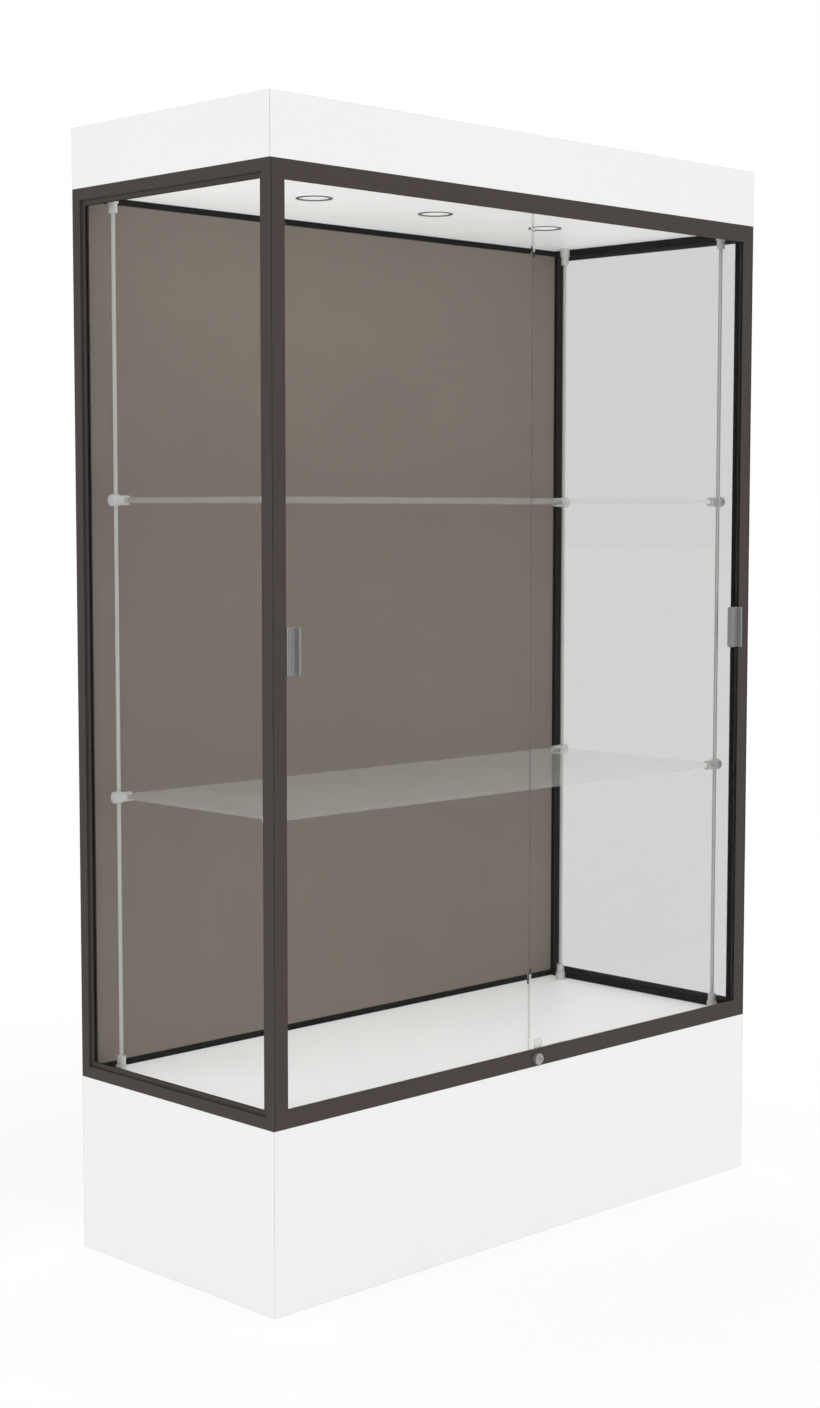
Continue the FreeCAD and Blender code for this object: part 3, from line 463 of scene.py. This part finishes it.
rod_steel = metal("rod_steel", (0.53, 0.525, 0.51), (0.66, 0.65, 0.63), 0.38, 0.45, (700.0, 700.0, 5.0))
satin_aluminium = metal(
    "satin_aluminium", (0.64, 0.64, 0.63), (0.76, 0.76, 0.75), 0.45, 0.4, (90.0, 90.0, 900.0)
)
clamp_aluminium = metal(
    "clamp_aluminium", (0.6, 0.6, 0.59), (0.72, 0.72, 0.71), 0.45, 0.4, (900.0, 90.0, 90.0)
)
pull_aluminium = metal(
    "pull_aluminium", (0.32, 0.325, 0.325), (0.42, 0.425, 0.42), 0.4, 0.4, (1200.0, 1200.0, 10.0)
)
lock_nickel = metal("lock_nickel", (0.46, 0.44, 0.44), (0.62, 0.6, 0.59), 0.28, 0.7, (120.0, 900.0, 120.0))
trim_metal = metal("trim_metal", (0.22, 0.22, 0.23), (0.3, 0.3, 0.31), 0.4, 0.5, (150.0, 150.0, 150.0))
zinc_steel = metal("zinc_steel", (0.5, 0.51, 0.53), (0.66, 0.67, 0.68), 0.38, 0.8, (60.0, 60.0, 700.0))
corner_names = ("front_left", "front_right", "back_left", "back_right")
wears(rod_steel, *[f"rod_{corner}" for corner in corner_names])
wears(satin_aluminium, "rod_floor_fittings", "rod_ceiling_fittings")
wears(clamp_aluminium, "shelf_upper_clamps", "shelf_lower_clamps")
wears(pull_aluminium, "door_left_pull", "door_right_pull")
wears(lock_nickel, "lock_sleeve", "lock_plunger", "lock_key_plug")
wears(trim_metal, "downlight_trims")
wears(zinc_steel, *[f"leveller_{corner}" for corner in corner_names], "downlight_cans")


# %% [markdown]
# ## Plastics
# Glides are natural nylon, the power inlet is black, and the lamps' driver has a grey shell. All are
# moulded, so they have a fine grit and no grain. The strike behind the lock is frosted and thin, so
# most of what is behind it shows through: its Alpha is low.


# %% Plastics
def plastic(name, low, high, roughness, scale):
    """A moulded plastic between two close tones."""
    material, tree, shader = finish(name, low, roughness)
    edge = use(tree, soft_edge, Width=0.0005, Amount=2.0)
    colour = varied(tree, shader, use(tree, cloud, Scale=30.0)["Mask"], low, high)
    rim = tuple(min(1.0, part * 1.4 + 0.01) for part in high)
    rubbed = mixed(tree, calc(tree, "MULTIPLY", edge["Mask"], 0.4), colour, (*rim, 1))
    tree.links.new(rubbed, shader.inputs["Base Color"])
    patches = use(tree, cloud, Scale=200.0, Seed=2.0)["Mask"]
    rough_between(tree, shader, patches, roughness - 0.06, roughness + 0.06)
    raised(tree, shader, use(tree, grit, Scale=scale)["Height"], 0.00003, edge["Normal"])
    return material


nylon = plastic("nylon", (0.7, 0.69, 0.64), (0.78, 0.77, 0.73), 0.45, 1500.0)
black_plastic = plastic("black_plastic", (0.012, 0.012, 0.013), (0.02, 0.02, 0.021), 0.5, 1200.0)
driver_case = plastic("driver_case", (0.42, 0.43, 0.44), (0.5, 0.51, 0.52), 0.5, 900.0)
rubber = plastic("rubber", (0.006, 0.006, 0.006), (0.01, 0.01, 0.01), 0.85, 700.0)
frosted_plastic = plastic("frosted_plastic", (0.84, 0.84, 0.83), (0.9, 0.9, 0.89), 0.4, 900.0)
frosted_plastic.node_tree.nodes["Principled BSDF"].inputs["Alpha"].default_value = 0.3
wears(nylon, "door_left_glides", "door_right_glides")
wears(frosted_plastic, "door_right_strike")
wears(black_plastic, "power_inlet")
wears(driver_case, "led_driver")

# %% [markdown]
# ## Lenses
# Each downlight ends in an opal lens that glows evenly, a touch brighter in the middle. Its brightness
# follows the distance from the lamp's own centre, found by folding the row of three into one.

# %% Opal lens
light_lens, tree, shader = finish("light_lens", (0.8, 0.8, 0.8), 0.35)
place = add(tree, "ShaderNodeSeparateXYZ", {0: add(tree, "ShaderNodeTexCoord").outputs["Object"]}).outputs
across = calc(tree, "WRAP", place["X"], light_gap / 2, -light_gap / 2)
deep = calc(tree, "SUBTRACT", place["Y"], light_line)
squares = [calc(tree, "MULTIPLY", leg, leg) for leg in (across, deep)]
away = calc(tree, "SQRT", calc(tree, "ADD", *squares))
fade_per_metre, ring_turns_per_metre = 12.0, 3000.0
near = calc(tree, "MULTIPLY_ADD", away, -fade_per_metre, 1.0, clamp=True)
tree.links.new(mixed(tree, near, (0.8, 0.8, 0.8, 1), (1, 1, 0.99, 1)), shader.inputs["Emission Color"])
shader.inputs["Emission Strength"].default_value = 0.58
rings = calc(tree, "SINE", calc(tree, "MULTIPLY", away, ring_turns_per_metre))
raised(tree, shader, rings, 0.00005)
wears(light_lens, "downlight_lenses")


# %% [markdown]
# ## Glass
# A pane bends and mirrors what we look at, but a lamp's light should simply come through it: real
# glass shades almost nothing, and tracing every bent ray of lamp light would leave speckles. So a pane
# is a Principled shader for the eye and a Transparent one for light on its way to a surface.
# The bending is kept slight, because at full strength a pane's edges flash with whatever stands
# beside the case; a thin clear coat gives back the gloss that a low bending takes away.


# %% Glass
def glass(name, colour, ior):
    """Glass for the eye, and clear for light on its way to what is behind it."""
    gloss = {"Coat_Weight": 0.12, "Coat_Roughness": 0.0, "Coat_IOR": 1.5}
    material, tree, shader = finish(name, colour, 0.0, Transmission_Weight=1.0, IOR=ior, **gloss)
    path = add(tree, "ShaderNodeLightPath").outputs
    passing = calc(tree, "MAXIMUM", path["Is Shadow Ray"], path["Is Diffuse Ray"])
    clear = add(tree, "ShaderNodeBsdfTransparent", {"Color": (1, 1, 1, 1)})
    either = add(tree, "ShaderNodeMixShader", {0: passing, 1: shader.outputs[0], 2: clear.outputs[0]})
    tree.links.new(either.outputs[0], tree.nodes["Material Output"].inputs["Surface"])
    return material


clear_glass = glass("clear_glass", (0.795, 0.8, 0.795), 1.03)
wears(clear_glass, "left_glass", "right_glass")

# %% [markdown]
# A shelf is seen almost edge on, where real bending traps the light inside the plate and shows only black.
# What one does see there is a pale veil that thickens at a low angle: the white surroundings mirrored in the
# glass. So the shelves don't bend light at all. They are a pale, glossy surface that is mostly absent, a
# painted reflection whose amount rises at a low angle and is a little patchy. Ground edges are made the same
# way, pale on a shelf and dark on a door, where the light leaves them to the side.


# %% Shelf glass and its edges
def ground_edge(name, tone, roughness, least):
    """A ground edge: a glossy surface that is mostly absent, and a little uneven."""
    material, tree, shader = finish(name, tone, roughness, Specular_IOR_Level=0.6)
    scuffs = use(tree, cloud, Scale=300.0)["Mask"]
    feed(tree, shader.inputs["Alpha"], calc(tree, "MULTIPLY_ADD", scuffs, 0.06, least))
    return material


shelf_glass, tree, shader = finish("shelf_glass", (0.86, 0.865, 0.85), 0.12, Specular_IOR_Level=0.6)
low_angle = add(tree, "ShaderNodeLayerWeight", {"Blend": 0.5}).outputs["Facing"]
# Painted reflection: a pale surface that shows more at a low angle, standing in for the white surroundings
# mirrored there. A slow cloud makes it a little patchy.
painted_reflection = calc(tree, "MULTIPLY_ADD", calc(tree, "POWER", low_angle, 3.0), 0.4, 0.04)
patchy_reflection = calc(tree, "MULTIPLY_ADD", use(tree, cloud, Scale=9.0, Seed=4.0)["Mask"], 0.16, 0.92)
feed(tree, shader.inputs["Alpha"], calc(tree, "MULTIPLY", painted_reflection, patchy_reflection, clamp=True))

shelf_edge = ground_edge("shelf_edge", (0.74, 0.76, 0.745), 0.3, 0.11)
door_edge = ground_edge("door_edge", (0.1, 0.105, 0.1), 0.2, 0.19)
print("glasses:", clear_glass.name, shelf_glass.name, shelf_edge.name, door_edge.name)

# %% [markdown]
# Loose panes have their edges ground and polished to a small arris, so that nobody cuts a hand. The
# doors and the shelves are rebuilt as plates with that arris, and take the place of the plain blocks.


# %% Plates with polished edges
def new_piece(name, mesh, body, slot, *materials):
    """An object at the origin that rides on a body."""
    for material in materials:
        mesh.materials.append(material)
    made = bpy.data.objects.new(name, mesh)
    scene.collection.objects.link(made)
    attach(made, body)
    return made


def plate(name, node, body, slot, thin_axis, arris, faces, edges):
    """A pane with ground edges in place of a node of the frame."""
    low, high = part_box(node)
    shape = bmesh.new()
    bmesh.ops.create_cube(shape, size=1.0)
    for vertex in shape.verts:
        for axis in range(3):
            vertex.co[axis] = low[axis] if vertex.co[axis] < 0 else high[axis]
    bmesh.ops.bevel(shape, geom=shape.edges[:], offset=arris, segments=2, profile=0.5, affect="EDGES")
    bmesh.ops.recalc_face_normals(shape, faces=shape.faces[:])
    for side in shape.faces:
        side.material_index = 0 if abs(side.normal[thin_axis]) > 0.99 else 1
    mesh = bpy.data.meshes.new(name)
    shape.to_mesh(mesh)
    shape.free()
    made = new_piece(name, mesh, body, slot, faces, edges)
    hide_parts(node)
    print(name, "has", len(mesh.polygons), "faces")
    return made


deep_axis, upright_axis = 1, 2
for side in ("left", "right"):
    door = f"door_{side}"
    pane = (f"{side}_door_pane", f"{door}_glass", door, "clear_glass", deep_axis)
    plate(*pane, 0.0008, clear_glass, door_edge)
for level in ("upper", "lower"):
    shelf = f"shelf_{level}"
    board = (f"{level}_shelf_plate", f"{shelf}_glass", shelf, "shelf_glass", upright_axis)
    plate(*board, 0.001, shelf_glass, shelf_edge)

# %% [markdown]
# ## Small parts that repeat
# Screws, set screws and glazing seals are each one shape, used again and again. Geometry Nodes suit
# them: a point stands for each screw, or a line for each seal, and a small tree grows the real shape
# there from a few named sizes. Changing a size later changes them all.


# %% Growing shapes with Geometry Nodes
def growth(name, **sizes):
    """A geometry tree that takes a shape, a material and named sizes: its tree, inputs and output."""
    tree = bpy.data.node_groups.new(name, "GeometryNodeTree")
    tree.interface.new_socket("Geometry", in_out="INPUT", socket_type="NodeSocketGeometry")
    tree.interface.new_socket("Material", in_out="INPUT", socket_type="NodeSocketMaterial")
    for label, (kind, value) in sizes.items():
        socket = tree.interface.new_socket(label, in_out="INPUT", socket_type=f"NodeSocket{kind}")
        socket.default_value = value
    tree.interface.new_socket("Geometry", in_out="OUTPUT", socket_type="NodeSocketGeometry")
    return tree, tree.nodes.new("NodeGroupInput").outputs, tree.nodes.new("NodeGroupOutput").inputs[0]


merge_distance = 0.000002


def grown(name, tree, points, edges, body, slot, material, **sizes):
    """Grows a tree on points and edges, and leaves one plain mesh that rides on a body."""
    seeds = bpy.data.meshes.new(f"{name}_seeds")
    seeds.from_pydata(points, edges, [])
    holder = bpy.data.objects.new(f"{name}_holder", seeds)
    scene.collection.objects.link(holder)
    growing = holder.modifiers.new("growth", "NODES")
    growing.node_group = tree
    sizes["Material"] = material
    for socket in tree.interface.items_tree:
        if socket.in_out == "INPUT" and socket.name in sizes:
            growing[socket.identifier] = sizes[socket.name]
    ready = holder.evaluated_get(bpy.context.evaluated_depsgraph_get())
    mesh = bpy.data.meshes.new_from_object(ready)
    mesh.name = name
    bpy.data.objects.remove(holder)
    clean = bmesh.new()
    clean.from_mesh(mesh)
    bmesh.ops.remove_doubles(clean, verts=clean.verts, dist=merge_distance)
    bmesh.ops.recalc_face_normals(clean, faces=clean.faces[:])
    clean.to_mesh(mesh)
    clean.free()
    made = new_piece(name, mesh, body, slot)
    print(name, "has", len(mesh.polygons), "faces from", len(points), "points")
    return made


# %% [markdown]
# ### Screws
# A screw head is a low cone frustum with a socket sunk in its top. The tree starts from a cone, draws
# its top face inwards, pushes the smaller face down, and places one on every point, turned to face
# the way its surface faces. Pan heads and set screws differ only in their sizes.

# %% The screw tree
screw_tree, given, out = growth(
    "screws",
    Radius=("Float", 0.003),
    Height=("Float", 0.001),
    Socket=("Float", 0.5),
    Sides=("Int", 16),
    Facing=("Vector", (0.0, 0.0, 1.0)),
)
head = add(
    screw_tree,
    "GeometryNodeMeshCone",
    {
        "Vertices": given["Sides"],
        "Radius Top": calc(screw_tree, "MULTIPLY", given["Radius"], 0.78),
        "Radius Bottom": given["Radius"],
        "Depth": given["Height"],
    },
)
rim = add(
    screw_tree,
    "GeometryNodeExtrudeMesh",
    {"Mesh": head.outputs["Mesh"], "Selection": head.outputs["Top"], "Offset Scale": 0.0},
)
drawn_in = add(
    screw_tree,
    "GeometryNodeScaleElements",
    {"Geometry": rim.outputs["Mesh"], "Selection": rim.outputs["Top"], "Scale": given["Socket"]},
)
sunk = add(
    screw_tree,
    "GeometryNodeExtrudeMesh",
    {
        "Mesh": drawn_in.outputs[0],
        "Selection": rim.outputs["Top"],
        "Offset Scale": calc(screw_tree, "MULTIPLY", given["Height"], -0.6),
    },
)
facing = add(screw_tree, "FunctionNodeAlignRotationToVector", {"Vector": given["Facing"]}, axis="Z")
placed = add(
    screw_tree,
    "GeometryNodeInstanceOnPoints",
    {"Points": given["Geometry"], "Instance": sunk.outputs["Mesh"], "Rotation": facing.outputs[0]},
)
whole = add(screw_tree, "GeometryNodeRealizeInstances", {0: placed.outputs[0]})
coated = {"Geometry": whole.outputs[0], "Material": given["Material"]}
done = add(screw_tree, "GeometryNodeSetMaterial", coated)
screw_tree.links.new(done.outputs[0], out)
print("screw tree has", len(screw_tree.nodes), "nodes")

# %% [markdown]
# Three kinds go in. Pan heads run round the back of the case, through the lip of the frame into the
# edge of the back panel. Set screws lock each rod in its two fittings, and each clamp on its rod;
# they face the back, where a fitter reaches them and a visitor doesn't see them.

# %% Back panel screws
lip_setback = 0.0043
lip_reach = 0.0086
lip_face = frame_high.y - lip_setback
lip_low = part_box("back_bottom_rail")[1].z - lip_reach / 2
lip_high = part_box("back_top_rail")[0].z + lip_reach / 2
lip_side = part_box("post_back_right")[0].x + lip_reach / 2


def row(first, last, count):
    """Evenly spaced numbers, both ends included."""
    return [first + (last - first) * step / (count - 1) for step in range(count)]


back_points = [(x, lip_face, z) for z in (lip_low, lip_high) for x in row(-lip_side, lip_side, 9)]
back_points += [(x, lip_face, z) for x in (-lip_side, lip_side) for z in row(lip_low, lip_high, 11)[1:-1]]
facing_back = (0.0, 1.0, 0.0)
pan_head = {"Radius": 0.0031, "Height": 0.0016, "Facing": facing_back}
grown("back_panel_screws", screw_tree, back_points, [], "case", "zinc_steel", zinc_steel, **pan_head)

# %% Set screws in the rods' fittings
collar_radius = 0.0076
fitting_height = 0.0165
collar_middle = fitting_height + 0.008
rods = [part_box(f"rod_{corner}") for corner in corner_names]
rod_places = [((low.x + high.x) / 2, (low.y + high.y) / 2) for low, high in rods]
fitting_points = [
    (x, y + collar_radius - 0.0003, z)
    for x, y in rod_places
    for z in (deck_top + collar_middle, ceiling_under - collar_middle)
]
set_screw = {"Radius": 0.0017, "Height": 0.0005, "Socket": 0.55, "Facing": facing_back}
grown("fitting_set_screws", screw_tree, fitting_points, [], "case", "rod_steel", zinc_steel, **set_screw)

# %% Set screws in the clamps
clamp_radius = 0.0104
set_screw["Radius"] = 0.0018
for level in ("upper", "lower"):
    low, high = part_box(f"shelf_{level}_clamps")
    clamp_points = [(x, y + clamp_radius - 0.0002, (low.z + high.z) / 2) for x, y in rod_places]
    name, body = f"{level}_clamp_set_screws", f"shelf_{level}"
    grown(name, screw_tree, clamp_points, [], body, "rod_steel", zinc_steel, **set_screw)

# %% [markdown]
# ### Glazing seals
# A side pane rattles in its slot unless a rubber bead is pressed in beside it. The bead is a thin
# round cord that follows the opening, so its tree turns a rectangle of edges into a curve and sweeps
# a small circle along it. Each pane has one bead outside, at the outer lip, and one inside.

# %% The seal tree
seal_tree, given, out = growth("seals", Thickness=("Float", 0.0006), Corner=("Float", 0.003))
line = add(seal_tree, "GeometryNodeMeshToCurve", {"Mesh": given["Geometry"]})
corner = {"Curve": line.outputs[0], "Radius": given["Corner"], "Count": 4}
bent = add(seal_tree, "GeometryNodeFilletCurve", corner, mode="POLY")
section = {"Resolution": 10, "Radius": given["Thickness"]}
ring = add(seal_tree, "GeometryNodeCurvePrimitiveCircle", section, mode="RADIUS")
along = {"Curve": bent.outputs[0], "Profile Curve": ring.outputs[0]}
swept = add(seal_tree, "GeometryNodeCurveToMesh", along)
whole = add(seal_tree, "GeometryNodeRealizeInstances", {0: swept.outputs[0]})
coated = {"Geometry": whole.outputs[0], "Material": given["Material"]}
done = add(seal_tree, "GeometryNodeSetMaterial", coated)
seal_tree.links.new(done.outputs[0], out)
print("seal tree has", len(seal_tree.nodes), "nodes")

# %% Seals round the side panes
bead = 0.0006
lip_difference = 0.0051
for side in ("left", "right"):
    pane_low, pane_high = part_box(f"{side}_glass")
    near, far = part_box(f"post_front_{side}")[1].y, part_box(f"post_back_{side}")[0].y
    foot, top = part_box(f"{side}_bottom_rail")[1].z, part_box(f"{side}_top_rail")[0].z
    faces_x = {"outer": pane_low.x - bead, "inner": pane_high.x + bead}
    if side == "right":
        faces_x = {"outer": pane_high.x + bead, "inner": pane_low.x - bead}
    for place_name, x in faces_x.items():
        drop = bead if place_name == "outer" else bead - lip_difference
        front, back, low, high = near + drop, far - drop, foot + drop, top - drop
        corners = [(x, front, low), (x, back, low), (x, back, high), (x, front, high)]
        loop = [(0, 1), (1, 2), (2, 3), (3, 0)]
        name = f"{side}_{place_name}_seal"
        grown(name, seal_tree, corners, loop, "case", "black_plastic", rubber, Thickness=bead)

# %% [markdown]
# ## Pins in the power inlet
# The inlet is a recessed plug with three flat blades, the middle one a little higher. Each is a
# short bar with a rounded tip, so three bevelled blocks in one mesh are enough.

# %% Inlet pins
inlet_low, inlet_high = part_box("power_inlet")
middle = (inlet_low + inlet_high) / 2
socket_depth = 0.0172
socket_floor = inlet_high.y - socket_depth
pins = bmesh.new()
blade_width, blade_length, blade_height = 0.002, 0.0135, 0.004
for aside, lift in ((-0.007, -0.002), (0.0, 0.002), (0.007, -0.002)):
    blade = bmesh.ops.create_cube(pins, size=1.0)["verts"]
    for vertex in blade:
        vertex.co.x = middle.x + aside + vertex.co.x * blade_width
        vertex.co.y = socket_floor + (vertex.co.y + 0.5) * blade_length
        vertex.co.z = middle.z + lift + vertex.co.z * blade_height
    rims = list({edge for vertex in blade for edge in vertex.link_edges})
    bmesh.ops.bevel(pins, geom=rims, offset=0.0004, segments=2, profile=0.5, affect="EDGES")
bmesh.ops.recalc_face_normals(pins, faces=pins.faces[:])
pin_mesh = bpy.data.meshes.new("inlet_pins")
pins.to_mesh(pin_mesh)
pins.free()
new_piece("inlet_pins", pin_mesh, "case", "zinc_steel", lock_nickel)
print("inlet pins have", len(pin_mesh.polygons), "faces")
